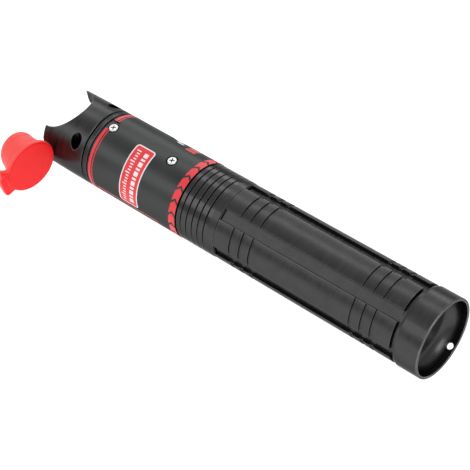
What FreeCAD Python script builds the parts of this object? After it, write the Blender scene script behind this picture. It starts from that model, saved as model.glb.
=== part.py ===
import FreeCAD, Part
import math
import os
import Sketcher

# Visual fault locator: a pen-size red laser source for optical fibre, two AA cells in line.
# Row frame: origin at the mouth of the fibre port, on the barrel's axis; +X runs from the
# head to the tail, +Z is up, the barrel lies on its side. Stations along the barrel are
# measured from the tips of the strike bezel (u) and every round body is placed with
# its own X shifted by -port_station.

App = FreeCAD
V = App.Vector
os.makedirs("parts", exist_ok=True)
doc = App.newDocument("fault_locator")

# ---------------------------------------------------------------- driving dimensions
sheet = doc.addObject("Spreadsheet::Sheet", "dims")
DIMS = [
    ("port_station", 9.5),        # bezel tips to the mouth of the fibre port
    # strike bezel
    ("bezel_len", 18.0), ("bezel_rad", 13.25), ("bezel_tip_rad", 13.15), ("bezel_taper_end", 9.0),
    ("bezel_bore_rad", 10.2), ("bezel_floor", 15.0), ("bezel_floor_hole_rad", 5.25),
    ("bezel_spigot_end", 22.0), ("bezel_spigot_rad", 10.4), ("bezel_spigot_bore_rad", 8.6),
    ("bezel_floor_back", 17.0), ("bezel_turn", 10.4), ("bezel_step", 11.6), ("bezel_well_rad", 7.75),
    ("scallop_half", 9.495), ("scallop_depth", 10.0), ("horn_round", 0.8),
    ("dip_half", 4.91), ("dip_depth", 1.5), ("dip_round", 0.45), ("dip_shoulder", 6.6),
    ("cross_hole_rad", 2.05), ("cross_hole_station", 14.1), ("cross_hole_offset", 9.2),
    # head housing and printed wrap
    ("housing_front", 18.5), ("housing_band_end", 20.3), ("housing_rad", 13.22),
    ("housing_seat_rad", 12.95), ("housing_groove_rad", 12.35), ("housing_bore_rad", 10.62),
    ("housing_end", 59.1), ("housing_groove_end", 20.75), ("housing_spigot_bore_rad", 10.45),
    ("wrap_front", 20.8), ("wrap_end", 59.2), ("wrap_rad", 13.25),
    ("screw_front", 23.55), ("screw_rear", 49.1), ("screw_turn", 12.0),
    ("screw_hole_rad", 1.3), ("screw_sink_rad", 2.0), ("screw_sink_floor", 12.4),
    ("screw_head_rad", 1.6), ("screw_head_top", 13.35), ("screw_shank_rad", 1.2),
    ("screw_tip", 8.8),
    ("notch_width", 4.0), ("notch_end", 24.0), ("notch_turn", 8.25),
    # slide switch
    ("switch_turn", -48.0), ("switch_station", 41.0), ("slot_len", 6.2), ("slot_width", 5.4),
    ("switch_len", 5.4), ("switch_width", 5.0), ("switch_floor", 8.85), ("switch_top", 11.2),
    ("knob_station", 41.9), ("knob_len", 3.0), ("knob_width", 3.2), ("knob_top", 13.0), ("knob_gap", 0.05),
    # battery tube: collar, grip and tail in one turning
    ("tube_front", 59.5), ("collar_rad", 13.15), ("collar_chamfer", 0.45),
    ("rib_depth", 0.42), ("rib_half", 0.27), ("rib_first", 61.4), ("rib_pitch", 2.34),
    ("collar_end", 72.4), ("taper_end", 74.85), ("taper_rad", 12.85), ("grip_start", 75.15),
    ("grip_rad", 13.0), ("grip_groove_rad", 12.6), ("grip_end", 142.2), ("channel_floor", 12.0),
    ("channel_width", 3.9), ("channel_turn", 41.5), ("channel_stop", 143.6),
    ("tail_cone_start", 142.7), ("tail_cone_end", 144.3), ("tail_rad", 13.25),
    ("tail_end", 152.2), ("bowl_rim_rad", 12.35), ("bowl_floor", 144.9),
    ("cell_bore_rad", 7.6), ("cell_bore_end", 139.5), ("thread_bore_rad", 10.67),
    ("thread_bore_end", 70.6), ("lanyard_rad", 1.1), ("lanyard_station", 150.35),
    ("lanyard_tilt", -4.5),
    # rear threaded sleeve, seal
    ("sleeve_front", 47.5), ("sleeve_end", 69.3), ("sleeve_rad", 10.6), ("sleeve_bore_rad", 7.8),
    ("seal_station", 61.2), ("seal_ring_rad", 10.08), ("seal_wire_rad", 0.5),
    # power cells
    ("cell_rad", 7.1), ("cell_front", 33.5), ("cell_len", 50.5), ("cell_nub", 1.3),
    ("cell_nub_rad", 2.75),
    # optics
    ("port_mouth", 9.5), ("port_nose_rad", 5.1), ("port_flange_front", 17.0),
    ("port_flange_rad", 8.5), ("port_flange_end", 18.6), ("port_end", 21.9), ("port_tail_rad", 4.0),
    ("port_bore_rad", 1.8), ("ferrule_front", 9.8), ("ferrule_end", 18.3), ("ferrule_bore_rad", 1.25),
    ("nut_end", 20.2), ("block_front", 22.2), ("block_end", 28.4), ("block_rad", 10.55),
    ("module_front", 22.1), ("module_end", 30.1), ("module_rad", 4.5), ("module_bore_rad", 3.4),
    ("board_front", 30.2), ("board_end", 31.2), ("board_rad", 10.3), ("plate_end", 32.2),
    # dust cap
    ("cap_rad", 9.4), ("cap_disc", 1.7), ("cap_len", 10.6), ("cap_skirt_rad", 8.15),
    ("cap_mouth_rad", 7.1), ("cap_bore_rad", 5.0), ("cap_bore_depth", 8.2),
    ("cap_x", -4.68), ("cap_y", -22.85), ("cap_z", -1.0), ("cap_yaw", -5.5), ("cap_pitch", 4.1),
    ("strap_thick", 1.3), ("strap_wide", 4.0), ("strap_ring_rad", 6.7), ("strap_ring_bore", 5.15),
    ("strap_ring_front", 13.2),
]
D = {}
for n, (name, value) in enumerate(DIMS, start=1):
    sheet.set("A%d" % n, name)
    sheet.set("B%d" % n, repr(float(value)))
    sheet.setAlias("B%d" % n, name)
    D[name] = float(value)
doc.recompute()

NODES = []


def amount(expr):
    """Value of a dimension expression written with bare alias names."""
    total, sign = 0.0, 1.0
    for tok in str(expr).replace("+", " + ").replace("-", " - ").split():
        if tok == "+":
            sign = 1.0
        elif tok == "-":
            sign = -1.0
        else:
            factor = 1.0
            for f in tok.split("*"):
                factor *= D[f] if f in D else float(f)
            total += sign * factor
            sign = 1.0
    return total


def ref(expr):
    """The same expression with the spreadsheet's name in front of each alias."""
    out = []
    for tok in str(expr).replace("+", " + ").replace("-", " - ").replace("*", " * ").split():
        out.append("dims." + tok if tok in D else tok)
    return " ".join(out)


def plane(body, role):
    for feature in body.Origin.OriginFeatures:
        if feature.Role == role:
            return feature
    raise ValueError(role)


def new_body(name, turn=None, shift="0 - port_station"):
    body = doc.addObject("PartDesign::Body", name)
    body.Label = name
    angle = amount(turn) if turn is not None else 0.0
    body.Placement = App.Placement(V(amount(shift), 0, 0), App.Rotation(V(1, 0, 0), angle))
    body.setExpression("Placement.Base.x", ref(shift))
    if turn is not None:
        body.setExpression("Placement.Rotation.Angle", ref(turn))
    NODES.append(body)
    return body


def new_sketch(body, name, role="XZ_Plane", lift=None, tilt=0.0):
    sk = body.newObject("Sketcher::SketchObject", name)
    sk.AttachmentSupport = [(plane(body, role), "")]
    sk.MapMode = "FlatFace"
    if lift is not None or tilt:
        up = amount(lift) if lift is not None else 0.0
        rot = App.Rotation(V(1, 0, 0), tilt)
        sk.AttachmentOffset = App.Placement(rot.multVec(V(0, 0, up)), rot)
        if lift is not None and not tilt:
            sk.setExpression("AttachmentOffset.Base.z", ref(lift))
    return sk


def pin_x(sk, geo, pos, expr):
    k = sk.addConstraint(Sketcher.Constraint("DistanceX", -1, 1, geo, pos, amount(expr)))
    sk.setExpression("Constraints[%d]" % k, ref(expr))


def pin_y(sk, geo, pos, expr):
    k = sk.addConstraint(Sketcher.Constraint("DistanceY", -1, 1, geo, pos, amount(expr)))
    sk.setExpression("Constraints[%d]" % k, ref(expr))


def polygon(sk, pts):
    """Closed outline through (x, y) expression pairs; a pair with a third item, the sagitta
    point (x, y numbers), is reached by an arc through that point."""
    n = len(pts)
    val = [(amount(p[0]), amount(p[1])) for p in pts]
    ends = []
    for i in range(n):
        a, b = val[i], val[(i + 1) % n]
        nxt = pts[(i + 1) % n]
        if len(nxt) > 2:
            mid = nxt[2]
            arc = Part.Arc(V(a[0], a[1], 0), V(mid[0], mid[1], 0), V(b[0], b[1], 0))
            g = sk.addGeometry(arc, False)
            sp = sk.getPoint(g, 1)
            forward = (sp - V(a[0], a[1], 0)).Length < 1e-6
            ends.append((g, 1, 2) if forward else (g, 2, 1))
        else:
            g = sk.addGeometry(Part.LineSegment(V(a[0], a[1], 0), V(b[0], b[1], 0)), False)
            ends.append((g, 1, 2))
    for i in range(n):
        g0, _, p_end = ends[i]
        g1, p_start, _ = ends[(i + 1) % n]
        sk.addConstraint(Sketcher.Constraint("Coincident", g0, p_end, g1, p_start))
    for i in range(n):
        g, p_start, _ = ends[i]
        pin_x(sk, g, p_start, pts[i][0])
        pin_y(sk, g, p_start, pts[i][1])


def circle(sk, cx, cy, rad):
    g = sk.addGeometry(Part.Circle(V(amount(cx), amount(cy), 0), V(0, 0, 1), amount(rad)), False)
    pin_x(sk, g, 3, cx)
    pin_y(sk, g, 3, cy)
    k = sk.addConstraint(Sketcher.Constraint("Radius", g, amount(rad)))
    sk.setExpression("Constraints[%d]" % k, ref(rad))
    return g


def rect(sk, x0, x1, y0, y1):
    polygon(sk, [(x0, y0), (x1, y0), (x1, y1), (x0, y1)])


def oval(sk, centre, length, width):
    """Slot with round ends, long along x."""
    cx, half, r = amount(centre), amount(length) / 2, amount(width) / 2
    a, b = cx - half + r, cx + half - r
    g0 = sk.addGeometry(Part.LineSegment(V(a, -r, 0), V(b, -r, 0)), False)
    g1 = sk.addGeometry(Part.Arc(V(b, -r, 0), V(b + r, 0, 0), V(b, r, 0)), False)
    g2 = sk.addGeometry(Part.LineSegment(V(b, r, 0), V(a, r, 0)), False)
    g3 = sk.addGeometry(Part.Arc(V(a, r, 0), V(a - r, 0, 0), V(a, -r, 0)), False)
    for p, q, s, t in ((g0, 2, g1, 1), (g1, 2, g2, 1), (g2, 2, g3, 1), (g3, 2, g0, 1)):
        sk.addConstraint(Sketcher.Constraint("Coincident", p, q, s, t))


def revolve(body, pts, name=None):
    sk = new_sketch(body, body.Name + "_section" if name is None else name)
    polygon(sk, pts)
    rev = body.newObject("PartDesign::Revolution", sk.Name + "_turn")
    rev.Profile = sk
    rev.ReferenceAxis = (sk, ["H_Axis"])
    rev.Angle = 360.0
    body.Tip = rev
    doc.recompute()
    return rev


def cut(body, sk, length, both=False, reverse=False):
    """Pocket along the sketch's normal; without reverse it cuts against the normal."""
    before = body.Shape.Volume
    p = body.newObject("PartDesign::Pocket", sk.Name + "_cut")
    p.Profile = sk
    p.Type = "Length"
    p.Length = amount(length)
    p.setExpression("Length", ref(length))
    if both:
        p.SideType = "Symmetric"
    p.Reversed = reverse
    body.Tip = p
    doc.recompute()
    if not body.Shape.Volume < before - 1e-4:
        raise RuntimeError("%s removed nothing" % sk.Name)
    return p


def pad(body, sk, length, reverse=False):
    p = body.newObject("PartDesign::Pad", sk.Name + "_pad")
    p.Profile = sk
    p.Length = amount(length)
    p.setExpression("Length", ref(length))
    p.Reversed = reverse
    body.Tip = p
    doc.recompute()
    return p


def polar(body, feature, count, name):
    pat = body.newObject("PartDesign::PolarPattern", name)
    pat.Originals = [feature]
    pat.Axis = (plane(body, "X_Axis"), [""])
    pat.Angle = 360.0
    pat.Occurrences = count
    body.Tip = pat
    doc.recompute()
    return pat


# ---------------------------------------------------------------- strike bezel
# A turned crown. Two deep scallops are milled straight across the tube, two shallow dips at
# right angles to them, and a pair of parallel blind holes is drilled behind the scallops.
bezel = new_body("strike_bezel", "bezel_turn")
revolve(bezel, [
    ("0", "bezel_bore_rad + 0.35"), ("0", "bezel_tip_rad - 0.35"), ("0.35", "bezel_tip_rad"),
    ("bezel_taper_end", "bezel_rad"), ("bezel_len - 0.2", "bezel_rad"), ("bezel_len", "bezel_rad - 0.2"),
    ("bezel_len", "bezel_spigot_rad"), ("bezel_spigot_end", "bezel_spigot_rad"),
    ("bezel_spigot_end", "bezel_spigot_bore_rad"), ("bezel_floor_back", "bezel_spigot_bore_rad"),
    ("bezel_floor_back", "bezel_floor_hole_rad"), ("bezel_floor", "bezel_floor_hole_rad"),
    ("bezel_floor", "bezel_well_rad"), ("bezel_step", "bezel_well_rad"),
    ("bezel_step", "bezel_bore_rad"), ("0.35", "bezel_bore_rad")])
c = D["horn_round"] * (1 - math.cos(math.pi / 4))
sk = new_sketch(bezel, "bezel_scallops", "XY_Plane")
polygon(sk, [("0 - 3", "0 - scallop_half - horn_round"), ("0 - 3", "scallop_half + horn_round"),
             ("0", "scallop_half + horn_round"), ("horn_round", "scallop_half", (c, D["scallop_half"] + c)),
             ("horn_round", "0 - scallop_half", (D["scallop_depth"], 0.0)),
             ("0", "0 - scallop_half - horn_round", (c, -D["scallop_half"] - c))])
cut(bezel, sk, "40", both=True)
sk = new_sketch(bezel, "bezel_dips", "XZ_Plane")
polygon(sk, [("0 - 3", "0 - dip_shoulder"), ("0 - 3", "dip_shoulder"), ("0", "dip_shoulder"),
             ("dip_round", "dip_half", (0.11, 5.77)), ("dip_round", "0 - dip_half", (D["dip_depth"], 0.0)),
             ("0", "0 - dip_shoulder", (0.11, -5.77))])
cut(bezel, sk, "40", both=True)
sk = new_sketch(bezel, "bezel_cross_holes", "XY_Plane")
circle(sk, "cross_hole_station", "cross_hole_offset", "cross_hole_rad")
circle(sk, "cross_hole_station", "0 - cross_hole_offset", "cross_hole_rad")
cut(bezel, sk, "20", reverse=True)

# ---------------------------------------------------------------- head housing
# Aluminium tube; a narrow bare band shows in front, the printed wrap sits on the rest.
housing = new_body("head_housing", "screw_turn")
revolve(housing, [
    ("housing_front", "housing_spigot_bore_rad"), ("housing_front", "housing_rad - 0.2"),
    ("housing_front + 0.2", "housing_rad"), ("housing_band_end - 1.25", "housing_rad"),
    ("housing_band_end - 1.15", "housing_rad - 0.12"), ("housing_band_end - 1.05", "housing_rad"),
    ("housing_band_end - 0.15", "housing_rad"), ("housing_band_end", "housing_rad - 0.15"),
    ("housing_band_end", "housing_groove_rad"), ("housing_groove_end", "housing_groove_rad"),
    ("housing_groove_end", "housing_seat_rad"), ("housing_end", "housing_seat_rad"),
    ("housing_end", "housing_bore_rad"), ("bezel_spigot_end + 0.1", "housing_bore_rad"),
    ("bezel_spigot_end + 0.1", "housing_spigot_bore_rad")])
sk = new_sketch(housing, "housing_screw_holes", "XY_Plane")
circle(sk, "screw_front", "0", "screw_hole_rad")
circle(sk, "screw_rear", "0", "screw_hole_rad")
cut(housing, sk, "20", reverse=True)
sk = new_sketch(housing, "housing_screw_sinks", "XY_Plane", lift="screw_sink_floor")
circle(sk, "screw_front", "0", "screw_sink_rad")
circle(sk, "screw_rear", "0", "screw_sink_rad")
cut(housing, sk, "5", reverse=True)
sk = new_sketch(housing, "housing_switch_slot", "XY_Plane", tilt=D["switch_turn"] - D["screw_turn"])
oval(sk, "switch_station", "slot_len", "slot_width")
cut(housing, sk, "20", reverse=True)

# ---------------------------------------------------------------- printed wrap
wrap = new_body("printed_wrap", "screw_turn")
revolve(wrap, [
    ("wrap_front", "housing_seat_rad + 0.01"), ("wrap_front", "wrap_rad - 0.06"),
    ("wrap_front + 0.06", "wrap_rad"), ("wrap_end - 0.06", "wrap_rad"),
    ("wrap_end", "wrap_rad - 0.06"), ("wrap_end", "housing_seat_rad + 0.01")])
sk = new_sketch(wrap, "wrap_screw_holes", "XY_Plane")
circle(sk, "screw_front", "0", "screw_sink_rad")
circle(sk, "screw_rear", "0", "screw_sink_rad")
cut(wrap, sk, "20", reverse=True)
sk = new_sketch(wrap, "wrap_notch", "XY_Plane", tilt=D["notch_turn"] - D["screw_turn"])
rect(sk, "wrap_front - 1", "notch_end", "0 - 0.5*notch_width", "0.5*notch_width")
cut(wrap, sk, "20", reverse=True)
sk = new_sketch(wrap, "wrap_switch_slot", "XY_Plane", tilt=D["switch_turn"] - D["screw_turn"])
oval(sk, "switch_station", "slot_len + 0.6", "slot_width + 0.6")
cut(wrap, sk, "20", reverse=True)

# ---------------------------------------------------------------- battery tube
# One turning: ribbed collar, grip with six channels milled along it, flared tail with a
# round bowl in its end, a blind bore for the cells and a threaded counterbore in front.
tube = new_body("battery_tube", "channel_turn")
outline = [("tube_front", "thread_bore_rad"), ("tube_front", "collar_rad - collar_chamfer"),
           ("tube_front + 0.3", "collar_rad")]
for k in range(5):
    mid = "rib_first + %d*rib_pitch" % k
    outline += [(mid + " - rib_half", "collar_rad"), (mid, "collar_rad - rib_depth"),
                (mid + " + rib_half", "collar_rad")]
outline += [("collar_end", "collar_rad"), ("taper_end", "taper_rad"),
            ("taper_end", "grip_groove_rad"), ("grip_start", "grip_groove_rad"), ("grip_start", "grip_rad")]
for a, b in ((81.0, 82.6), (84.8, 86.4), (88.6, 90.1), (127.2, 128.6), (131.1, 132.5), (134.8, 136.3)):
    outline += [("%.2f" % a, "grip_rad"), ("%.2f" % (a + 0.15), "grip_groove_rad"),
                ("%.2f" % (b - 0.15), "grip_groove_rad"), ("%.2f" % b, "grip_rad")]
outline += [("grip_end", "grip_rad"), ("grip_end", "channel_floor"), ("tail_cone_start", "channel_floor"),
            ("tail_cone_start", "channel_floor + 0.55"),
            ("tail_cone_end", "tail_rad"), ("tail_end - 0.35", "tail_rad"),
            ("tail_end", "tail_rad - 0.35", (D["tail_end"] - 0.1, D["tail_rad"] - 0.1)),
            ("tail_end", "bowl_rim_rad + 0.2"),
            ("tail_end - 0.2", "bowl_rim_rad"),
            ("tail_end - 2.0", "bowl_rim_rad - 0.05"),
            ("bowl_floor + 0.9", "8.6", (D["tail_end"] - 4.7, 11.35)),
            ("bowl_floor", "1.2", (D["bowl_floor"] + 0.24, 4.9)), ("bowl_floor", "0"),
            ("cell_bore_end", "0"), ("cell_bore_end", "cell_bore_rad"),
            ("thread_bore_end + 1.2", "cell_bore_rad"), ("thread_bore_end + 0.4", "cell_bore_rad + 0.8"),
            ("thread_bore_end + 0.4", "thread_bore_rad - 0.4"), ("thread_bore_end", "thread_bore_rad")]
revolve(tube, outline)
sk = new_sketch(tube, "tube_channel", "XY_Plane", lift="channel_floor")
rect(sk, "grip_start", "channel_stop", "0 - 0.5*channel_width", "0.5*channel_width")
chan = cut(tube, sk, "5", reverse=True)
polar(tube, chan, 6, "tube_channels")
sk = new_sketch(tube, "tube_lanyard_hole", "XY_Plane", tilt=D["lanyard_tilt"])
circle(sk, "lanyard_station", "0", "lanyard_rad")
cut(tube, sk, "20")

# ---------------------------------------------------------------- rear threaded sleeve and seal
sleeve = new_body("rear_thread_sleeve", "screw_turn")
revolve(sleeve, [
    ("sleeve_front", "sleeve_bore_rad"), ("sleeve_front", "sleeve_rad"),
    ("seal_station - 0.65", "sleeve_rad"), ("seal_station - 0.65", "seal_ring_rad - seal_wire_rad - 0.03"),
    ("seal_station + 0.65", "seal_ring_rad - seal_wire_rad - 0.03"), ("seal_station + 0.65", "sleeve_rad"),
    ("sleeve_end - 0.6", "sleeve_rad"), ("sleeve_end", "sleeve_rad - 0.6"), ("sleeve_end", "sleeve_bore_rad")])
sk = new_sketch(sleeve, "sleeve_screw_hole", "XY_Plane")
circle(sk, "screw_rear", "0", "screw_shank_rad + 0.02")
cut(sleeve, sk, "20", reverse=True)

seal = doc.addObject("Part::Torus", "seal_ring")
seal.Label = "seal_ring"
seal.Placement = App.Placement(V(amount("seal_station - port_station"), 0, 0), App.Rotation(V(0, 1, 0), 90))
seal.setExpression("Radius1", ref("seal_ring_rad"))
seal.setExpression("Radius2", ref("seal_wire_rad"))
seal.setExpression("Placement.Base.x", ref("seal_station - port_station"))
NODES.append(seal)

# ---------------------------------------------------------------- cells and spring
for name, start in (("battery_front", "cell_front"), ("battery_rear", "cell_front + cell_len")):
    cell = new_body(name)
    revolve(cell, [
        (start, "0"), (start, "cell_nub_rad"), (start + " + cell_nub", "cell_nub_rad"),
        (start + " + cell_nub", "cell_rad - 0.5"), (start + " + cell_nub + 0.4", "cell_rad"),
        (start + " + cell_len - 0.4", "cell_rad"), (start + " + cell_len", "cell_rad - 0.4"),
        (start + " + cell_len", "0")])

# return spring, squashed between the rear cell and the end of the bore
turns, wire_rad = 3.5, 0.4
front = amount("cell_front + cell_len + cell_len") + wire_rad
back = D["cell_bore_end"] - wire_rad
helix = Part.makeLongHelix((back - front) / turns, back - front, 5.6)
lead = math.atan2((back - front) / turns, 2 * math.pi * 5.6)
profile = Part.Wire([Part.makeCircle(wire_rad, V(5.6, 0, 0), V(0, math.cos(lead), math.sin(lead)))])
coil = Part.Wire(helix.Edges).makePipeShell([profile], True, True)
spring = doc.addObject("Part::Feature", "battery_spring")
spring.Label = "battery_spring"
spring.Shape = coil
spring.Placement = App.Placement(V(back - D["port_station"], 0, 0), App.Rotation(V(0, 1, 0), -90))
NODES.append(spring)

# ---------------------------------------------------------------- optics
port = new_body("port_body")
revolve(port, [
    ("port_mouth", "port_bore_rad + 0.3"), ("port_mouth", "port_nose_rad - 0.4"),
    ("port_mouth + 0.4", "port_nose_rad"), ("port_flange_front", "port_nose_rad"),
    ("port_flange_front", "port_flange_rad"), ("port_flange_end", "port_flange_rad"),
    ("port_flange_end", "port_tail_rad"), ("port_end", "port_tail_rad"), ("port_end", "1.0"),
    ("ferrule_end", "1.0"), ("ferrule_end", "port_bore_rad"), ("port_mouth + 0.3", "port_bore_rad")])

ferrule = new_body("ferrule_sleeve")
revolve(ferrule, [
    ("ferrule_front", "ferrule_bore_rad"), ("ferrule_front", "port_bore_rad - 0.02"),
    ("ferrule_end", "port_bore_rad - 0.02"), ("ferrule_end", "ferrule_bore_rad")])

nut = new_body("port_nut")
revolve(nut, [
    ("port_flange_end", "port_tail_rad + 0.02"), ("port_flange_end", "port_flange_rad"),
    ("nut_end", "port_flange_rad"), ("nut_end", "port_tail_rad + 0.02")])

block = new_body("optical_block", "screw_turn")
revolve(block, [
    ("block_front", "module_rad + 0.02"), ("block_front", "block_rad - 0.3"), ("block_front + 0.3", "block_rad"),
    ("block_end", "block_rad"), ("block_end", "module_rad + 0.02")])
sk = new_sketch(block, "block_screw_hole", "XY_Plane")
circle(sk, "screw_front", "0", "screw_shank_rad + 0.02")
cut(block, sk, "20", reverse=True)

module = new_body("laser_module")
revolve(module, [
    ("module_front", "1.6"), ("module_front", "module_rad"), ("module_end", "module_rad"),
    ("module_end", "module_bore_rad"), ("module_front + 0.6", "module_bore_rad"), ("module_front + 0.6", "1.6")])

lens = new_body("focus_lens")
revolve(lens, [
    ("module_front + 0.7", "0"), ("module_front + 0.7", "0.4"),
    ("module_front + 1.1", "module_bore_rad - 0.05", (D["module_front"] + 0.82, 1.9)),
    ("module_front + 1.9", "module_bore_rad - 0.05"),
    ("module_front + 2.4", "0.4", (D["module_front"] + 2.26, 1.9)), ("module_front + 2.4", "0")])

diode = new_body("laser_diode")
revolve(diode, [
    ("module_front + 3.4", "0"), ("module_front + 3.4", "2.35"), ("module_end - 1.4", "2.35"),
    ("module_end - 1.4", "module_bore_rad - 0.05"), ("module_end", "module_bore_rad - 0.05"),
    ("module_end", "0")])

board = new_body("driver_board", "switch_turn")
revolve(board, [
    ("board_front", "0"), ("board_front", "board_rad"), ("board_end", "board_rad"), ("board_end", "0")])

chip = new_body("driver_chip", "switch_turn")
sk = new_sketch(chip, "chip_outline", "XY_Plane", lift="6.0")
rect(sk, "board_front - 1.3", "board_front", "0 - 2.0", "2.0")
pad(chip, sk, "3.2")

plate = new_body("contact_plate")
revolve(plate, [
    ("board_end", "0"), ("board_end", "board_rad"), ("plate_end", "board_rad"), ("plate_end", "0")])

contact = new_body("front_contact")
revolve(contact, [
    ("plate_end", "0"), ("plate_end", "3.4"), ("plate_end + 0.4", "3.4"), ("cell_front", "1.8"),
    ("cell_front", "0")])

# ---------------------------------------------------------------- slide switch
swb = new_body("switch_board", "switch_turn")
sk = new_sketch(swb, "switch_board_outline", "XY_Plane", lift="switch_floor - 0.8")
rect(sk, "switch_station - 6.4", "switch_station + 5.9", "0 - 3.4", "3.4")
pad(swb, sk, "0.8")

body_sw = new_body("switch_body", "switch_turn")
sk = new_sketch(body_sw, "switch_body_outline", "XY_Plane", lift="switch_floor")
oval(sk, "switch_station", "switch_len", "switch_width")
pad(body_sw, sk, "switch_top - switch_floor")

knob = new_body("switch_knob", "switch_turn")
sk = new_sketch(knob, "switch_knob_outline", "XY_Plane", lift="switch_top + knob_gap")
rect(sk, "knob_station - 0.5*knob_len", "knob_station + 0.5*knob_len", "0 - 0.5*knob_width", "0.5*knob_width")
pad(knob, sk, "knob_top - switch_top - knob_gap")
for k in (-1, 0, 1):
    sk = new_sketch(knob, "knob_groove_%d" % (k + 1), "XZ_Plane")
    mid = "knob_station + %.2f" % (k * 0.85)
    polygon(sk, [(mid + " - 0.28", "knob_top + 0.1"), (mid, "knob_top - 0.45"), (mid + " + 0.28", "knob_top + 0.1")])
    cut(knob, sk, "10", both=True)

# ---------------------------------------------------------------- head screws
# Two cross-head screws in one node: the front one holds the optical block, the rear one
# the threaded sleeve.
screws = []
for station in ("screw_front", "screw_rear"):
    x = D[station] - D["port_station"]
    shank = Part.makeCylinder(D["screw_shank_rad"], D["screw_sink_floor"] + 0.05 - D["screw_tip"], V(0, 0, D["screw_tip"]))
    head = Part.makeCylinder(D["screw_head_rad"], D["screw_head_top"] - D["screw_sink_floor"] - 0.02,
                             V(0, 0, D["screw_sink_floor"] + 0.02))
    head = head.makeFillet(0.32, [edge for edge in head.Edges
                                  if abs(edge.BoundBox.ZMin - D["screw_head_top"]) < 1e-6
                                  and abs(edge.BoundBox.ZMax - D["screw_head_top"]) < 1e-6])
    one = shank.fuse(head)
    for rot in (0, 90):
        bar = Part.makeBox(1.9, 0.42, 1.0, V(-0.95, -0.21, D["screw_head_top"] - 0.55))
        bar.rotate(V(0, 0, 0), V(0, 0, 1), 25 + rot)
        one = one.cut(bar)
    one.rotate(V(0, 0, 0), V(1, 0, 0), D["screw_turn"])
    one.translate(V(x, 0, 0))
    screws.append(one)
screw_node = doc.addObject("Part::Feature", "head_screws")
screw_node.Label = "head_screws"
screw_node.Shape = Part.makeCompound(screws)
NODES.append(screw_node)

# ---------------------------------------------------------------- dust cap
# Moulded red rubber. Local +X is the outward side of the closed disc, the skirt runs to -X;
# its bore grips the nose of the port. The pull tab and the strap lug are on the rim.
cap = doc.addObject("PartDesign::Body", "cap_moulding")
cap.Label = "cap_moulding"
cap.Placement = App.Placement(V(D["cap_x"], D["cap_y"], D["cap_z"]), App.Rotation(D["cap_yaw"], D["cap_pitch"], 0))
cap.setExpression("Placement.Base.x", ref("cap_x"))
cap.setExpression("Placement.Base.y", ref("cap_y"))
cap.setExpression("Placement.Base.z", ref("cap_z"))
L, R, M = D["cap_len"], D["cap_rad"], D["cap_mouth_rad"]
revolve(cap, [
    ("0", "0"), ("0", "cap_rad - 0.5"),
    ("0 - 0.5", "cap_rad", (-0.146, R - 0.146)),
    ("0 - cap_disc + 0.3", "cap_rad"),
    ("0 - cap_disc", "cap_rad - 0.3", (-D["cap_disc"] + 0.088, R - 0.088)),
    ("0 - cap_disc", "cap_skirt_rad"),
    ("0 - cap_len + 2.4", "cap_mouth_rad"),
    ("0 - cap_len", "cap_mouth_rad - 1.6", (-L + 0.75, M - 0.5)),
    ("0 - cap_len", "cap_bore_rad + 0.4"),
    ("0 - cap_len + 0.4", "cap_bore_rad"),
    ("0 - cap_len + cap_bore_depth", "cap_bore_rad"),
    ("0 - cap_len + cap_bore_depth", "0")])
sk = new_sketch(cap, "cap_tab", "YZ_Plane")
polygon(sk, [("0 - 7.2", "1.8"), ("0 - 9.6", "2.7"), ("0 - 12.4", "4.1"), ("0 - 11.9", "1.5"), ("0 - 12.5", "0 - 0.1"),
             ("0 - 11.3", "0 - 4.5"), ("0 - 10.1", "0 - 7.4"), ("0 - 6.4", "0 - 6.5"), ("0 - 4.6", "0 - 5.2")])
pad(cap, sk, "2.6", reverse=True)

# strap: a ring round the nose of the port and a flat strip that leaves the bezel past the
# horn, drops to the floor and doubles back to the cap
t = D["strap_thick"]


def strip(path, wide, thick):
    """Strip of rectangular section along points (x, y, z), standing on edge."""
    wires = []
    for i, p in enumerate(path):
        a = path[max(i - 1, 0)]
        b = path[min(i + 1, len(path) - 1)]
        d = V(b[0] - a[0], b[1] - a[1], 0)
        d.normalize()
        s = V(-d.y, d.x, 0) * (thick / 2)
        c = V(*p)
        up = V(0, 0, wide / 2)
        wires.append(Part.makePolygon([c + s - up, c + s + up, c - s + up, c - s - up, c + s - up]))
    return Part.makeLoft(wires, True, True)


ring = Part.makeCylinder(D["strap_ring_rad"], D["bezel_floor"] - D["strap_ring_front"],
                         V(D["strap_ring_front"] - D["port_station"], 0, 0), V(1, 0, 0)).cut(
    Part.makeCylinder(D["strap_ring_bore"], 10, V(D["strap_ring_front"] - D["port_station"] - 4, 0, 0), V(1, 0, 0)))
w = D["strap_wide"]
floor_mid = -D["wrap_rad"] + w / 2
tether_path = [(5.2, -5.9, -1.2), (3.0, -6.0, -1.2), (0.0, -6.4, -1.8), (-3.5, -6.9, -2.6), (-7.0, -7.2, -3.6),
               (-9.9, -7.6, -5.6), (-11.5, -8.3, -8.4), (-12.1, -9.2, -10.4), (-12.3, -10.3, floor_mid)]
tether = strip(tether_path, w, t).fuse(ring)
tether_node = doc.addObject("Part::Feature", "cap_tether")
tether_node.Label = "cap_tether"
tether_node.Shape = tether.removeSplitter()
NODES.append(tether_node)

lug_path = [(-13.75, -12.1, floor_mid), (-13.5, -13.3, floor_mid + 1.1), (-12.6, -14.9, floor_mid + 3.0),
            (-11.4, -16.6, floor_mid + 4.6), (-10.4, -18.0, floor_mid + 5.2)]
lug = doc.addObject("Part::Feature", "cap_lug")
lug.Label = "cap_lug"
lug.Shape = strip(lug_path, w * 0.9, t).cut(
    Part.makeCylinder(D["cap_mouth_rad"] - 1.0, 30.0, cap.Placement.multVec(V(-20, 0, 0)),
                      cap.Placement.Rotation.multVec(V(1, 0, 0))))
whole_cap = doc.addObject("Part::Fuse", "dust_cap")
whole_cap.Label = "dust_cap"
whole_cap.Base = cap
whole_cap.Tool = lug
NODES.append(whole_cap)

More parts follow.
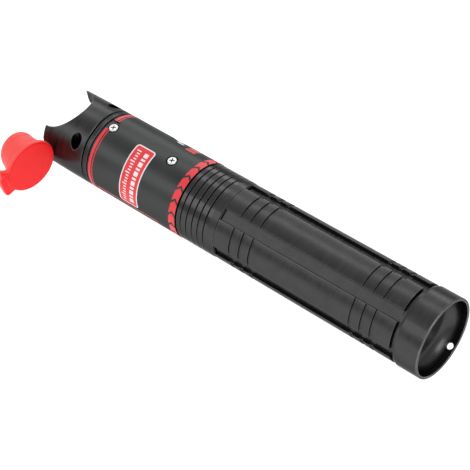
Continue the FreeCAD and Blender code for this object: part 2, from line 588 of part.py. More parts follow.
# ---------------------------------------------------------------- checks and export
doc.recompute()
for obj in doc.Objects:
    if any(flag in obj.State for flag in ("Invalid", "Error")):
        raise RuntimeError("%s failed: %s" % (obj.Name, obj.State))
for node in NODES:
    shape = node.Shape
    if shape.isNull() or not shape.isValid() or not shape.Solids:
        raise RuntimeError("%s has no valid solid" % node.Label)
    if node.Label != "head_screws" and len(shape.Solids) != 1:
        raise RuntimeError("%s has %d solids" % (node.Label, len(shape.Solids)))
    shape.exportStep("parts/%s.step" % node.Label)
    box = shape.BoundBox
    print("%-20s %9.1f mm3  x %7.2f %7.2f  y %7.2f %7.2f  z %7.2f %7.2f" % (
        node.Label, shape.Volume, box.XMin, box.XMax, box.YMin, box.YMax, box.ZMin, box.ZMax))
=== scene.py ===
import math

import bmesh
import bpy
from mathutils import Matrix, Vector


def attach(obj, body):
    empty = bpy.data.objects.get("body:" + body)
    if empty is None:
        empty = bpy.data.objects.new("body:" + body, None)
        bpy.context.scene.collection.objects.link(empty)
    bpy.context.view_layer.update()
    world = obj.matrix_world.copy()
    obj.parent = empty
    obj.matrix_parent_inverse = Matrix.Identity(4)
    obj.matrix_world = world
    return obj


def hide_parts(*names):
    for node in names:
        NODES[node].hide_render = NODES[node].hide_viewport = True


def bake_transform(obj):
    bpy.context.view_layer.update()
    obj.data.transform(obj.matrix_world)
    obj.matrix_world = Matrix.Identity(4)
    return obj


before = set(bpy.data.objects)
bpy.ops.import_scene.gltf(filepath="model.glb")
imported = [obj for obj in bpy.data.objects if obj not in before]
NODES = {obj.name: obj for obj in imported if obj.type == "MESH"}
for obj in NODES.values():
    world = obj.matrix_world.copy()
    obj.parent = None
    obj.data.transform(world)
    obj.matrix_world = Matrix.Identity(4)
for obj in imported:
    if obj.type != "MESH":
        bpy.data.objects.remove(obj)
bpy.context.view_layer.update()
MM = 0.001
scene = bpy.context.scene

# ------------------------------------------------------------------ sizes shared with the CAD (mm)
WRAP_R = 13.25
FLOOR_Z = -13.31
CAP_AT = Vector((-4.68, -22.70, -1.0))


# ------------------------------------------------------------------ material helpers
def new_material(name, base, rough, metallic=0.0, specular=0.5):
    m = bpy.data.materials.new(name)
    m.use_nodes = True
    t = m.node_tree
    b = t.nodes["Principled BSDF"]
    b.inputs["Base Color"].default_value = (*base, 1)
    b.inputs["Roughness"].default_value = rough
    b.inputs["Metallic"].default_value = metallic
    b.inputs["Specular IOR Level"].default_value = specular
    m.diffuse_color = (*base, 1)
    return m, t, b


def coords(t, scale=(1, 1, 1)):
    c = t.nodes.new("ShaderNodeTexCoord")
    m = t.nodes.new("ShaderNodeMapping")
    m.inputs["Scale"].default_value = scale
    t.links.new(c.outputs["Object"], m.inputs["Vector"])
    return m.outputs["Vector"]


def noise(t, vec, scale, detail=4.0, rough=0.55, distortion=0.0):
    n = t.nodes.new("ShaderNodeTexNoise")
    n.inputs["Scale"].default_value = scale
    n.inputs["Detail"].default_value = detail
    n.inputs["Roughness"].default_value = rough
    n.inputs["Distortion"].default_value = distortion
    t.links.new(vec, n.inputs["Vector"])
    return n.outputs["Fac"]


def ramp(t, fac, stops):
    r = t.nodes.new("ShaderNodeValToRGB")
    e = r.color_ramp.elements
    while len(e) < len(stops):
        e.new(0.5)
    for el, (p, c) in zip(e, stops):
        el.position = p
        el.color = (*c, 1) if len(c) == 3 else c
    t.links.new(fac, r.inputs["Fac"])
    return r.outputs["Color"]


def spread(t, fac, low, high, a=0.3, b=0.7):
    n = t.nodes.new("ShaderNodeMapRange")
    n.inputs["From Min"].default_value = a
    n.inputs["From Max"].default_value = b
    n.inputs["To Min"].default_value = low
    n.inputs["To Max"].default_value = high
    t.links.new(fac, n.inputs["Value"])
    return n.outputs["Result"]


def soft_edges(t, radius):
    """Normals rounded over the broken edges left by turning and milling."""
    n = t.nodes.new("ShaderNodeBevel")
    n.samples = 4
    n.inputs["Radius"].default_value = radius
    return n.outputs["Normal"]


def painted_crevice_shade(t, colour, distance, b):
    """Base colour with painted shade: darkened where the surface folds in on itself, at groove corners and channel
    walls.
    """
    n = t.nodes.new("ShaderNodeAmbientOcclusion")
    n.samples = 8
    n.only_local = True
    n.inputs["Distance"].default_value = distance
    t.links.new(colour, n.inputs["Color"])
    t.links.new(n.outputs["Color"], b.inputs["Base Color"])


def painted_edge_highlight(t, colour, bright, radius):
    """Colour that turns paler on outer edges: a painted highlight along them."""
    n = t.nodes.new("ShaderNodeAmbientOcclusion")
    n.samples = 8
    n.inside = True
    n.only_local = True
    n.inputs["Distance"].default_value = radius
    mix = t.nodes.new("ShaderNodeMix")
    mix.data_type = "RGBA"
    mix.inputs["A"].default_value = (bright[0], bright[1], bright[2], 1)
    t.links.new(spread(t, n.outputs["AO"], 0.0, 1.0, 0.42, 0.92), mix.inputs["Factor"])
    t.links.new(colour, mix.inputs["B"])
    return mix.outputs["Result"]


def along(t, start, end, low, high):
    """Number that goes from low to high between two fractions of the part's length."""
    c = t.nodes.new("ShaderNodeTexCoord")
    x = t.nodes.new("ShaderNodeSeparateXYZ")
    t.links.new(c.outputs["Generated"], x.inputs["Vector"])
    return spread(t, x.outputs["X"], low, high, start, end)


def product(t, a, b2):
    n = t.nodes.new("ShaderNodeMath")
    n.operation = "MULTIPLY"
    t.links.new(a, n.inputs[0])
    t.links.new(b2, n.inputs[1])
    return n.outputs["Value"]


def bump(t, b, height, strength, distance, extra=None):
    n = t.nodes.new("ShaderNodeBump")
    n.inputs["Strength"].default_value = strength
    n.inputs["Distance"].default_value = distance
    t.links.new(height, n.inputs["Height"])
    if extra is not None:
        t.links.new(extra, n.inputs["Normal"])
    t.links.new(n.outputs["Normal"], b.inputs["Normal"])
    return n.outputs["Normal"]


# ------------------------------------------------------------------ materials
def anodised(name, base, rough, tone=0.10, line=0.35, grain=0.5, edge=0.00014, sheen_edge=0.5, collar=None):
    """Black-anodised aluminium with the rings left by turning; a collar given as (end fraction, factor)
    is turned finer than the rest, so it is glossier."""
    m, t, b = new_material(name, base, rough, metallic=1.0)
    b.inputs["Specular Tint"].default_value = (sheen_edge, sheen_edge, sheen_edge, 1)
    v = coords(t)
    cloud = noise(t, v, 260.0, 4.0)
    rings = noise(t, coords(t, (1.0, 0.03, 0.03)), 2400.0, 3.0, 0.6)
    both = product(t, spread(t, cloud, 0.85, 1.15), spread(t, rings, 1 - tone * 1.6, 1 + tone * 1.6))
    dark = tuple(c * (1 - tone * 2.2) for c in base)
    light = tuple(c * (1 + tone * 2.2) for c in base)
    film = ramp(t, spread(t, both, 0.0, 1.0, 0.7, 1.3), [(0.0, dark), (1.0, light)])
    # painted highlight: outer edges turn paler
    skin = painted_edge_highlight(t, film, (0.13, 0.13, 0.13), 0.0003)
    # with a collar, the tail rim at the end of the part gets a stronger painted highlight
    if collar:
        rim = t.nodes.new("ShaderNodeMix")
        rim.data_type = "RGBA"
        t.links.new(along(t, 0.980, 0.995, 0.0, 1.0), rim.inputs["Factor"])
        t.links.new(skin, rim.inputs["A"])
        t.links.new(painted_edge_highlight(t, film, (0.62, 0.62, 0.62), 0.0005), rim.inputs["B"])
        skin = rim.outputs["Result"]
    # painted shade in groove corners and on channel walls
    painted_crevice_shade(t, skin, 0.0006, b)
    r = spread(t, rings, rough * 0.80, rough * 1.22)
    if collar:
        r = product(t, r, along(t, collar[0] - 0.004, collar[0] + 0.004, collar[1], 1.0))
    t.links.new(r, b.inputs["Roughness"])
    first = bump(t, b, rings, line * 0.25, 0.00003, soft_edges(t, edge))
    fine = noise(t, v, 5200.0, 2.0, 0.6)
    bump(t, b, fine, grain * 0.3, 0.00003, first)
    return m


BLACK = anodised("black_anodised", (0.060, 0.060, 0.062), 0.30)
BLACK_TUBE = anodised("black_anodised_grip", (0.062, 0.062, 0.064), 0.29, line=1.0, tone=0.07, collar=(0.139, 0.62))

# printed film: matte, faintly mottled
WRAP, t, b = new_material("wrap_film", (0.064, 0.068, 0.067), 0.40, metallic=1.0)
b.inputs["Specular Tint"].default_value = (0.5, 0.5, 0.5, 1)
v = coords(t)
cloud = noise(t, v, 120.0, 4.0)
t.links.new(ramp(t, cloud, [(0.3, (0.060, 0.064, 0.063)), (0.7, (0.068, 0.072, 0.071))]), b.inputs["Base Color"])
t.links.new(spread(t, cloud, 0.35, 0.42), b.inputs["Roughness"])
bump(t, b, noise(t, v, 4200.0, 2.0, 0.6), 0.18, 0.00003)


def ink(name, base, rough):
    m, t, b = new_material(name, base, rough)
    v = coords(t)
    f = noise(t, v, 900.0, 3.0)
    t.links.new(ramp(t, f, [(0.3, tuple(c * 0.93 for c in base)), (0.7, tuple(min(1, c * 1.05) for c in base))]), b.inputs["Base Color"])
    t.links.new(spread(t, f, rough - 0.04, rough + 0.05), b.inputs["Roughness"])
    bump(t, b, noise(t, v, 4000.0, 2.0), 0.12, 0.00002)
    return m


RED_INK = ink("red_print", (0.80, 0.032, 0.045), 0.45)
WHITE_INK = ink("white_print", (0.86, 0.84, 0.83), 0.45)


def plated(name, base, rough, metallic=1.0, tone=0.08, grain=0.25, scale=900.0, painted_shade_depth=0.0):
    m, t, b = new_material(name, base, rough, metallic)
    v = coords(t)
    f = noise(t, v, scale, 3.0)
    skin = ramp(t, f, [(0.3, tuple(c * (1 - tone) for c in base)), (0.7, tuple(min(1, c * (1 + tone)) for c in base))])
    # painted shade in recesses when a depth is given
    if painted_shade_depth:
        painted_crevice_shade(t, skin, painted_shade_depth, b)
    else:
        t.links.new(skin, b.inputs["Base Color"])
    t.links.new(spread(t, f, max(0.03, rough - 0.06), rough + 0.08), b.inputs["Roughness"])
    bump(t, b, noise(t, v, scale * 4, 2.0), grain * 0.3, 0.00003)
    return m


# the screws carry painted shade in their recesses
SCREW = plated("bright_nickel", (0.60, 0.59, 0.57), 0.22, painted_shade_depth=0.0009)
NICKEL = plated("nickel_plate", (0.70, 0.69, 0.66), 0.28)
BRASS = plated("turned_brass", (0.72, 0.52, 0.24), 0.28)
STEEL = plated("spring_wire", (0.62, 0.62, 0.63), 0.26)


def plastic(name, base, rough, tone=0.12, scale=600.0, grain=0.3, specular=0.5, coat=0.0, sss=0.0):
    m, t, b = new_material(name, base, rough, 0.0, specular)
    v = coords(t)
    f = noise(t, v, scale, 3.0)
    t.links.new(ramp(t, f, [(0.3, tuple(c * (1 - tone) for c in base)), (0.7, tuple(min(1, c * (1 + tone)) for c in base))]), b.inputs["Base Color"])
    t.links.new(spread(t, f, max(0.03, rough - 0.05), rough + 0.06), b.inputs["Roughness"])
    bump(t, b, noise(t, v, scale * 5, 2.0), grain * 0.4, 0.00004)
    if coat:
        b.inputs["Coat Weight"].default_value = coat
        b.inputs["Coat Roughness"].default_value = 0.25
    if sss:
        b.inputs["Subsurface Weight"].default_value = sss
        b.inputs["Subsurface Radius"].default_value = (1.0, 0.25, 0.2)
        b.inputs["Subsurface Scale"].default_value = 0.002
    return m


RUBBER = plastic("red_rubber", (0.95, 0.012, 0.014), 0.46, tone=0.04, scale=260.0, grain=0.25, specular=0.22, sss=0.12)

# the cap's rubber is deep red on its flat face and paler round the skirt and rim, set by which way the surface faces:
# the pale skirt and rim are a painted highlight
CAP_AXIS = (0.99285, -0.09560, -0.07150)
CAP_RUBBER, t, b = new_material("cap_rubber", (0.95, 0.02, 0.02), 0.44, specular=0.25)
c = t.nodes.new("ShaderNodeTexCoord")
dot = t.nodes.new("ShaderNodeVectorMath")
dot.operation = "DOT_PRODUCT"
t.links.new(c.outputs["Normal"], dot.inputs[0])
dot.inputs[1].default_value = CAP_AXIS
face = spread(t, dot.outputs["Value"], 0.0, 1.0, 0.25, 0.95)
mottle = noise(t, coords(t), 420.0, 3.0)
# painted highlight: pale pink where the surface turns away from the cap's axis, deep red on the flat face
t.links.new(ramp(t, face, [(0.0, (0.96, 0.095, 0.085)), (0.6, (0.96, 0.050, 0.046)), (1.0, (0.95, 0.006, 0.008))]), b.inputs["Base Color"])
t.links.new(spread(t, mottle, 0.38, 0.50), b.inputs["Roughness"])
bump(t, b, noise(t, coords(t), 1300.0, 2.0), 0.10, 0.00004)
b.inputs["Subsurface Weight"].default_value = 0.12
b.inputs["Subsurface Radius"].default_value = (1.0, 0.25, 0.2)
b.inputs["Subsurface Scale"].default_value = 0.002
SEAL = plastic("black_rubber", (0.018, 0.018, 0.018), 0.6)
KNOB = plastic("switch_black", (0.022, 0.022, 0.022), 0.42, scale=900.0)
CERAMIC = plastic("zirconia", (0.88, 0.88, 0.85), 0.15, tone=0.03, grain=0.1)
CELL = plastic("cell_wrap", (0.08, 0.11, 0.18), 0.3, tone=0.1, grain=0.1)

# circuit board: solder mask with a faint weave and copper patches
BOARD, t, b = new_material("board_green", (0.03, 0.16, 0.06), 0.35)
v = coords(t)
tracks = t.nodes.new("ShaderNodeTexVoronoi")
tracks.inputs["Scale"].default_value = 420.0
t.links.new(v, tracks.inputs["Vector"])
t.links.new(ramp(t, tracks.outputs["Distance"], [(0.12, (0.10, 0.28, 0.09)), (0.2, (0.025, 0.14, 0.05))]), b.inputs["Base Color"])
bump(t, b, noise(t, v, 2500.0, 2.0), 0.15, 0.00004)

# lens: clear glass with the faintest ripple
GLASS, t, b = new_material("optic_glass", (0.92, 0.96, 0.97), 0.03)
b.inputs["Transmission Weight"].default_value = 1.0
b.inputs["IOR"].default_value = 1.52
bump(t, b, noise(t, coords(t), 300.0, 1.0), 0.03, 0.00002)

for n, m in {
    "strike_bezel": BLACK, "head_housing": BLACK, "printed_wrap": WRAP, "battery_tube": BLACK_TUBE,
    "rear_thread_sleeve": NICKEL, "seal_ring": SEAL, "battery_front": CELL, "battery_rear": CELL,
    "battery_spring": STEEL, "port_body": NICKEL, "ferrule_sleeve": CERAMIC, "port_nut": NICKEL,
    "optical_block": NICKEL, "laser_module": BRASS, "focus_lens": GLASS, "laser_diode": BRASS,
    "driver_board": BOARD, "driver_chip": SEAL, "contact_plate": SEAL, "front_contact": BRASS,
    "switch_board": BOARD, "switch_body": SEAL, "switch_knob": KNOB, "head_screws": SCREW,
    "cap_tether": RUBBER, "dust_cap": CAP_RUBBER,
}.items():
    o = NODES[n]
    if not o.data.materials:
        o.data.materials.append(m)
    for i in range(len(o.material_slots)):
        o.material_slots[i].link = "OBJECT"
        o.material_slots[i].material = m


# ------------------------------------------------------------------ print on the wrap
def on_barrel(x, deg, r):
    a = math.radians(deg)
    return Vector((x * MM, -math.cos(a) * r * MM, math.sin(a) * r * MM))


def print_patch(name, outlines, low, high, material, step=1.5, base_r=WRAP_R):
    """Closed thin patches on the barrel. Each outline is a list of (x mm, angle in degrees);
    the patch is cut every step degrees so that it follows the curve, and stands from
    base_r + low to base_r + high."""
    out = bmesh.new()
    for outline in outlines:
        bm = bmesh.new()
        f = bm.faces.new([bm.verts.new((x, a, 0.0)) for x, a in outline])
        bmesh.ops.triangulate(bm, faces=[f])
        lo = min(a for _, a in outline)
        hi = max(a for _, a in outline)
        k = math.floor(lo / step) + 1
        while k * step < hi - 1e-4:
            bmesh.ops.bisect_plane(bm, geom=bm.verts[:] + bm.edges[:] + bm.faces[:], dist=1e-5,
                                   plane_co=(0, k * step, 0), plane_no=(0, 1, 0))
            k += 1
        bmesh.ops.dissolve_limit(bm, angle_limit=0.001, verts=[], edges=[])
        bmesh.ops.recalc_face_normals(bm, faces=bm.faces[:])
        if bm.faces and sum(fc.normal.z for fc in bm.faces) < 0:
            bmesh.ops.reverse_faces(bm, faces=bm.faces[:])
        ext = bmesh.ops.extrude_face_region(bm, geom=bm.faces[:])
        top = {g for g in ext["geom"] if isinstance(g, bmesh.types.BMVert)}
        for vt in bm.verts:
            r = base_r + (high if vt in top else low)
            vt.co = on_barrel(vt.co.x, vt.co.y, r)
        me = bpy.data.meshes.new("tmp")
        bm.to_mesh(me)
        bm.free()
        out.from_mesh(me)
        bpy.data.meshes.remove(me)
    bmesh.ops.recalc_face_normals(out, faces=out.faces[:])
    me = bpy.data.meshes.new(name)
    out.to_mesh(me)
    out.free()
    o = bpy.data.objects.new(name, me)
    scene.collection.objects.link(o)
    me.materials.append(material)
    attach(o, "laser_head")
    return o


DEG = 180.0 / (math.pi * WRAP_R)     # degrees of barrel for each millimetre round it


def rounded(x0, x1, a0, a1, r, seg=6):
    """Rounded rectangle in (x mm, degrees) with corner radius r mm."""
    pts = []
    for cx, cs, start in ((x1 - r, 1, 0), (x0 + r, 1, 90), (x0 + r, -1, 180), (x1 - r, -1, 270)):
        ca = a1 - r * DEG if cs > 0 else a0 + r * DEG
        for k in range(seg + 1):
            q = math.radians(start + 90.0 * k / seg)
            pts.append((cx + r * math.cos(q), ca + r * DEG * math.sin(q)))
    return pts


# double ring behind the band, open over the front screw
ring_thick, ring_thin = [], []
for a0, a1 in ((90.6, 180.0), (180.0, 270.0), (270.0, 360.0), (360.0, 432.8)):
    ring_thick.append([(11.85, a0), (12.85, a0), (12.85, a1), (11.85, a1)])
    ring_thin.append([(13.35, a0), (13.65, a0), (13.65, a1), (13.35, a1)])
print_patch("print_ring_thick", ring_thick, -0.02, 0.02, RED_INK)
print_patch("print_ring_thin", ring_thin, -0.02, 0.02, RED_INK)

# rating label: plain red field with a white border and generic bars
LX0, LX1, LA0, LA1 = 25.7, 33.6, -17.6, 76.1
print_patch("label_border", [rounded(LX0, LX1, LA0, LA1, 1.15)], -0.02, 0.015, WHITE_INK)
B = 0.42
print_patch("label_field", [rounded(LX0 + B, LX1 - B, LA0 + B * DEG, LA1 - B * DEG, 0.8)], -0.02, 0.03, RED_INK)
bars = []
# front row: a plain scale of ticks, rear row: plain blocks
a = LA1 - 1.9 * DEG
k = 0
while a - 0.42 * DEG > LA0 + 1.6 * DEG:
    tall = 1.75 if k % 4 == 0 else 1.15
    bars.append([(27.0 + (1.75 - tall), a - 0.42 * DEG), (28.75, a - 0.42 * DEG), (28.75, a), (27.0 + (1.75 - tall), a)])
    a -= 0.98 * DEG
    k += 1
a = LA1 - 1.9 * DEG
for k, w in enumerate([1.5, 0.7, 1.5, 0.7, 1.5, 0.7, 1.5, 0.7, 1.5, 0.7, 1.5, 0.7]):
    if a - w * DEG < LA0 + 1.5 * DEG:
        break
    bars.append([(30.35, a - w * DEG), (31.95, a - w * DEG), (31.95, a), (30.35, a)])
    a -= (w + 0.55) * DEG
print_patch("label_bars", bars, -0.02, 0.045, WHITE_INK)

# chevron band at the rear of the wrap
CH_X0, CH_X1, CH_V, CH_GAP, CH_N, CH_AT = 47.05, 49.66, 5.0, 4.2, 19, 11.4
chev = []
for k in range(CH_N):
    a0 = CH_AT + k * 360.0 / CH_N + CH_GAP / 2
    a1 = a0 + 360.0 / CH_N - CH_GAP
    xm = (CH_X0 + CH_X1) / 2
    chev.append([(CH_X0, a0 - CH_V / 2), (xm, a0 + CH_V / 2), (CH_X1, a0 - CH_V / 2),
                 (CH_X1, a1 - CH_V / 2), (xm, a1 + CH_V / 2), (CH_X0, a1 - CH_V / 2)])
print_patch("print_chevrons", chev, -0.02, 0.02, RED_INK)

# plain bars behind the switch, a small white mark beside it, and a thin frame round the blank panel underneath
print_patch("print_switch_bars", [rounded(38.2, 42.2, a, a + 5.0, 0.3) for a in (111.0, 118.5, 126.0)], -0.02, 0.02, RED_INK)
print_patch("switch_white_mark", [rounded(33.2, 35.9, 119.0, 123.5, 0.25)], -0.02, 0.02, WHITE_INK)


def frame_outline(x0, x1, a0, a1, w):
    d = w * DEG
    return [
        [(x0, a0), (x1, a0), (x1, a0 + d), (x0, a0 + d)],
        [(x0, a1 - d), (x1, a1 - d), (x1, a1), (x0, a1)],
        [(x0, a0 + d), (x0 + w, a0 + d), (x0 + w, a1 - d), (x0, a1 - d)],
        [(x1 - w, a0 + d), (x1, a0 + d), (x1, a1 - d), (x1 - w, a1 - d)],
    ]


print_patch("print_under_frame", frame_outline(14.9, 41.0, -72.0, -22.0, 0.45), -0.02, 0.02, RED_INK)


# ------------------------------------------------------------------ dust cap and its strap
def mesh_object(name, bm, material):
    bmesh.ops.recalc_face_normals(bm, faces=bm.faces[:])
    me = bpy.data.meshes.new(name)
    bm.to_mesh(me)
    bm.free()
    o = bpy.data.objects.new(name, me)
    scene.collection.objects.link(o)
    me.materials.append(material)
    return o


def lathe(profile, seg):
    """Closed solid turned about local X from (x, r) points, first and last on the axis."""
    bm = bmesh.new()
    rings = []
    for x, r in profile:
        if r < 1e-6:
            rings.append([bm.verts.new((x, 0, 0))])
        else:
            rings.append([bm.verts.new((x, r * math.cos(2 * math.pi * k / seg), r * math.sin(2 * math.pi * k / seg))) for k in range(seg)])
    for a, c in zip(rings, rings[1:]):
        for k in range(seg):
            q = (k + 1) % seg
            if len(a) == 1:
                bm.faces.new((a[0], c[k], c[q]))
            elif len(c) == 1:
                bm.faces.new((a[k], c[0], a[q]))
            else:
                bm.faces.new((a[k], c[k], c[q], a[q]))
    return bm


def arc(cx, cr, rad, a0, a1, n):
    return [(cx + rad * math.cos(math.radians(a0 + (a1 - a0) * k / n)), cr + rad * math.sin(math.radians(a0 + (a1 - a0) * k / n))) for k in range(n + 1)]


CAP_R, DISC = 9.4, 1.7
SK0, SK1, ROUND, SK_END = 8.156, 6.748, 4.42, -6.58      # skirt radii, shoulder radius and where the shoulder starts
LEAN_Y, LEAN_Z = 0.05, 0.275                              # the soft skirt leans a little as it hangs on its strap
profile = [(-0.10, 0.0), (-0.10, 4.0), (-0.06, 7.0), (-0.02, 8.3)]
profile += arc(-0.62, CAP_R - 0.62, 0.62, 8, 90, 8)
profile += arc(-1.22, CAP_R - 0.42, 0.42, 90, 165, 6)[1:]
profile += [(-1.80, 8.72), (-1.98, 8.42), (-2.30, 8.16)]
profile += [(x, SK0 + (SK1 - SK0) * (-x - 1.7) / (-SK_END - 1.7)) for x in (-2.8, -3.8, -4.8, -5.8, -6.4)]
profile += [(SK_END - ROUND * math.sin(math.radians(q)), SK1 - ROUND + ROUND * math.cos(math.radians(q))) for q in (3, 8, 14, 20, 26, 32, 38, 43)]
profile += [(-9.68, 5.44), (-9.86, 5.22), (-9.88, 5.02), (-9.74, 4.86), (-9.4, 4.8), (-2.6, 4.8), (-2.4, 4.6), (-2.4, 0.0)]
bm = lathe(profile, 160)
for vt in bm.verts:
    if vt.co.x < -DISC:
        vt.co += Vector((0, LEAN_Y, LEAN_Z)) * (-vt.co.x - DISC)
body = mesh_object("cap_body_tmp", bm, RUBBER)

# pull tab in the plane of the disc: a fishtail with a raised crease at its root
TAB = [(-9.61, 2.70), (-10.94, 3.51), (-11.70, 4.05), (-12.40, 4.13), (-12.49, 3.45), (-11.88, 1.47), (-12.34, 0.62),
       (-12.52, -0.15), (-11.96, -2.33), (-11.31, -4.50), (-10.47, -6.81), (-9.70, -7.38), (-8.46, -7.03), (-7.42, -6.57),
       (-6.39, -6.44), (-5.0, -5.6), (-3.0, -2.0), (-6.0, 2.6), (-7.6, 2.3)]


def slab(name, outline, low, high):
    bm = bmesh.new()
    lowf = [bm.verts.new((low, y, z)) for y, z in outline]
    upf = [bm.verts.new((high, y, z)) for y, z in outline]
    bm.faces.new(lowf)
    bm.faces.new(upf[::-1])
    for k in range(len(outline)):
        q = (k + 1) % len(outline)
        bm.faces.new((lowf[k], upf[k], upf[q], lowf[q]))
    return mesh_object(name, bm, RUBBER)


tab = slab("cap_tab_tmp", TAB, -2.45, -0.25)
crease = slab("cap_crease_tmp", [(-10.35, 0.80), (-9.95, 0.85), (-9.05, -2.0), (-8.10, -4.60), (-8.50, -4.75), (-9.45, -2.15)], -1.0, 0.10)


def apply_modifiers(o):
    dg = bpy.context.evaluated_depsgraph_get()
    me = bpy.data.meshes.new_from_object(o.evaluated_get(dg))
    o.modifiers.clear()
    old = o.data
    o.data = me
    bpy.data.meshes.remove(old)


def add(o, kind, **kw):
    m = o.modifiers.new(kind.lower(), kind)
    for k, val in kw.items():
        setattr(m, k, val)
    return m


bpy.context.view_layer.update()
add(tab, "BEVEL", width=0.40, segments=4, limit_method="ANGLE", angle_limit=math.radians(35))
apply_modifiers(tab)


def smooth_curve(points, per=10):
    """Catmull-Rom through the points, as a list of Vectors."""
    p = [Vector(q) for q in points]
    p = [p[0] * 2 - p[1]] + p + [p[-1] * 2 - p[-2]]
    out = []
    for i in range(1, len(p) - 2):
        for k in range(per):
            s = k / per
            a, b2, c, d = p[i - 1], p[i], p[i + 1], p[i + 2]
            out.append(0.5 * ((2 * b2) + (c - a) * s + (2 * a - 5 * b2 + 4 * c - d) * s * s + (3 * b2 - 3 * c + d - a) * s ** 3))
    out.append(p[-2].copy())
    return out


def strap_mesh(points, wide, thick):
    """Moulded strap on edge: rounded section, wide along Z, swept along the points (mm)."""
    sec = []
    hw, ht, r = wide / 2, thick / 2, thick * 0.36
    for cy, cz, s0 in ((ht - r, hw - r, 0), (-ht + r, hw - r, 90), (-ht + r, -hw + r, 180), (ht - r, -hw + r, 270)):
        for k in range(5):
            q = math.radians(s0 + 22.5 * k)
            sec.append((cy + r * math.cos(q), cz + r * math.sin(q)))
    bm = bmesh.new()
    rings = []
    for i, c in enumerate(points):
        d = points[min(i + 1, len(points) - 1)] - points[max(i - 1, 0)]
        d.z = 0
        d.normalize()
        side = Vector((-d.y, d.x, 0))
        rings.append([bm.verts.new(c + side * y + Vector((0, 0, z))) for y, z in sec])
    for a, c in zip(rings, rings[1:]):
        for k in range(len(sec)):
            q = (k + 1) % len(sec)
            bm.faces.new((a[k], a[q], c[q], c[k]))
    bm.faces.new(rings[0])
    bm.faces.new(rings[-1][::-1])
    return bm


# the cap's place: yaw about Z, then pitch about Y, as in the CAD
to_world = Matrix.Translation(CAP_AT) @ Matrix.Rotation(math.radians(-5.5), 4, "Z") @ Matrix.Rotation(math.radians(4.1), 4, "Y")
join = bmesh.new()
for o in (body, tab, crease):
    join.from_mesh(o.data)
    bpy.data.objects.remove(o)
cap = mesh_object("dust_cap_moulding", join, CAP_RUBBER)
add(cap, "REMESH", mode="VOXEL", voxel_size=0.16, adaptivity=0.0)
add(cap, "SMOOTH", factor=0.5, iterations=3)
apply_modifiers(cap)
cap.data.transform(Matrix.Scale(MM, 4) @ to_world)
for p in cap.data.polygons:
    p.use_smooth = True
cap.data.materials.clear()
cap.data.materials.append(CAP_RUBBER)
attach(cap, "cap")
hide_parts("dust_cap")

FLOOR_MID = -WRAP_R + 2.0
STRAP = [(5.2, -5.9, -1.2), (3.0, -6.0, -1.2), (0.0, -6.4, -1.8), (-3.5, -6.9, -2.6), (-7.0, -7.2, -3.6),
         (-9.9, -7.6, -5.6), (-11.5, -8.3, -8.4), (-12.4, -9.3, -10.6), (-13.1, -10.8, FLOOR_MID), (-13.5, -12.3, FLOOR_MID + 0.3),
         (-13.3, -13.6, FLOOR_MID + 1.3), (-12.5, -15.0, FLOOR_MID + 3.0), (-11.4, -16.6, FLOOR_MID + 4.6), (-10.2, -18.2, FLOOR_MID + 5.4)]
strap = mesh_object("cap_strap", strap_mesh(smooth_curve(STRAP, 8), 4.0, 1.3), RUBBER)
strap.data.transform(Matrix.Scale(MM, 4))
for p in strap.data.polygons:
    p.use_smooth = True
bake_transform(strap)

# strap's ring round the nose of the port
ring_profile = [(-0.9, 5.15), (-0.9, 6.5)] + arc(-0.7, 6.5, 0.2, 180, 90, 3)[1:] + arc(0.7, 6.5, 0.2, 90, 0, 3) + [(0.9, 5.35)] + arc(0.7, 5.35, 0.2, 0, -90, 3)[1:] + [(-0.9, 5.15)]
bm = bmesh.new()
SEG = 96
rings = [[bm.verts.new((4.6 + x, r * math.cos(2 * math.pi * k / SEG), r * math.sin(2 * math.pi * k / SEG))) for k in range(SEG)] for x, r in ring_profile[:-1]]
for i in range(len(rings)):
    a, c = rings[i], rings[(i + 1) % len(rings)]
    for k in range(SEG):
        q = (k + 1) % SEG
        bm.faces.new((a[k], c[k], c[q], a[q]))
strap_ring = mesh_object("strap_ring", bm, RUBBER)
strap_ring.data.transform(Matrix.Scale(MM, 4))
for p in strap_ring.data.polygons:
    p.use_smooth = True
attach(strap_ring, "laser_head")
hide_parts("cap_tether")

# ------------------------------------------------------------------ floor, light, camera
me = bpy.data.meshes.new("floor")
S = 3.0
me.from_pydata([(-S, -S, FLOOR_Z * MM), (S, -S, FLOOR_Z * MM), (S, S, FLOOR_Z * MM), (-S, S, FLOOR_Z * MM)], [], [(0, 1, 2, 3)])
floor = bpy.data.objects.new("floor", me)
floor.location = (0.06, 0.0, 0.0)
scene.collection.objects.link(floor)
FLOOR, t, b = new_material("pale_floor", (0.9, 0.9, 0.9), 0.9, specular=0.0)
b.inputs["Emission Color"].default_value = (1, 1, 1, 1)
b.inputs["Emission Strength"].default_value = 1.0
t.links.new(ramp(t, noise(t, coords(t), 3.0, 2.0), [(0.3, (0.29, 0.29, 0.29)), (0.7, (0.31, 0.31, 0.31))]), b.inputs["Base Color"])
me.materials.append(FLOOR)

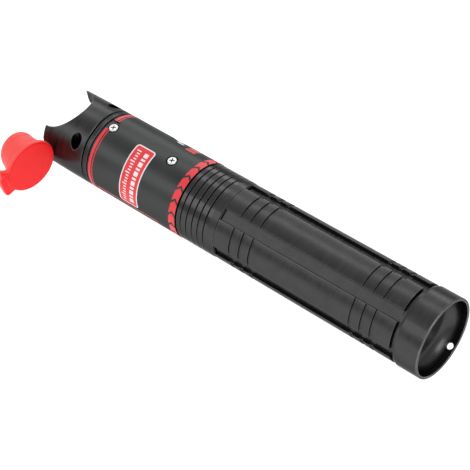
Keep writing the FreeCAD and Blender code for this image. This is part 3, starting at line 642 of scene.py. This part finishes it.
world = bpy.data.worlds.new("studio")
scene.world = world
world.use_nodes = True
bg = world.node_tree.nodes["Background"]
bg.inputs["Color"].default_value = (1, 1, 1, 1)
bg.inputs["Strength"].default_value = 0.58

CENTRE = Vector((0.065, 0.0, 0.0))


def softbox(name, direction, distance, size_x, size_y, power):
    """Rectangular light aimed at the part, its long side lying along the barrel."""
    d = Vector(direction).normalized()
    li = bpy.data.lights.new(name, "AREA")
    li.shape = "RECTANGLE"
    li.size, li.size_y = size_x, size_y
    li.energy = power
    o = bpy.data.objects.new(name, li)
    x = Vector((1, 0, 0))
    x = (x - d * x.dot(d)).normalized()
    o.matrix_world = Matrix.Translation(CENTRE + d * distance) @ Matrix((x, d.cross(x), d)).transposed().to_4x4()
    scene.collection.objects.link(o)
    return o


def strip(name, angle, power, width=0.22, length=0.8):
    """Strip light at an angle round the barrel: 0 is the near horizon, 90 overhead, 180 the far horizon."""
    a = math.radians(angle)
    return softbox(name, (-0.484, -0.875 * math.cos(a), 0.875 * math.sin(a)), 0.95, length, width, power)


strip("key_low", 30, 0.75, 0.24)
strip("key_high", 44, 0.55, 0.20)
strip("top_soft", 92, 0.12, 0.24)
strip("rim_high", 110, 0.95, 0.24)
strip("rim_mid", 130, 0.35, 0.24)
strip("rim_low", 150, 1.60, 0.24)
softbox("side_right", (0.66, -0.24, 0.71), 0.95, 0.5, 0.5, 2.4)

cam_data = bpy.data.cameras.new("camera")
cam = bpy.data.objects.new("camera", cam_data)
cam_data.sensor_width = 36.0
cam_data.lens = 117.49
cam_data.clip_start = 0.01
cam_data.clip_end = 20.0
right, up, back = Vector((0.75719, 0.65320, 0)), Vector((-0.43887, 0.50873, 0.74067)), Vector((0.48381, -0.56083, 0.67187))
rot = Matrix((right, up, back)).transposed()
cam.matrix_world = Matrix.Translation(Vector((0.29780, -0.27178, 0.31921))) @ rot.to_4x4()
scene.collection.objects.link(cam)
scene.camera = cam

scene.view_settings.view_transform = "Standard"
scene.view_settings.look = "None"
scene.cycles.max_bounces = 8
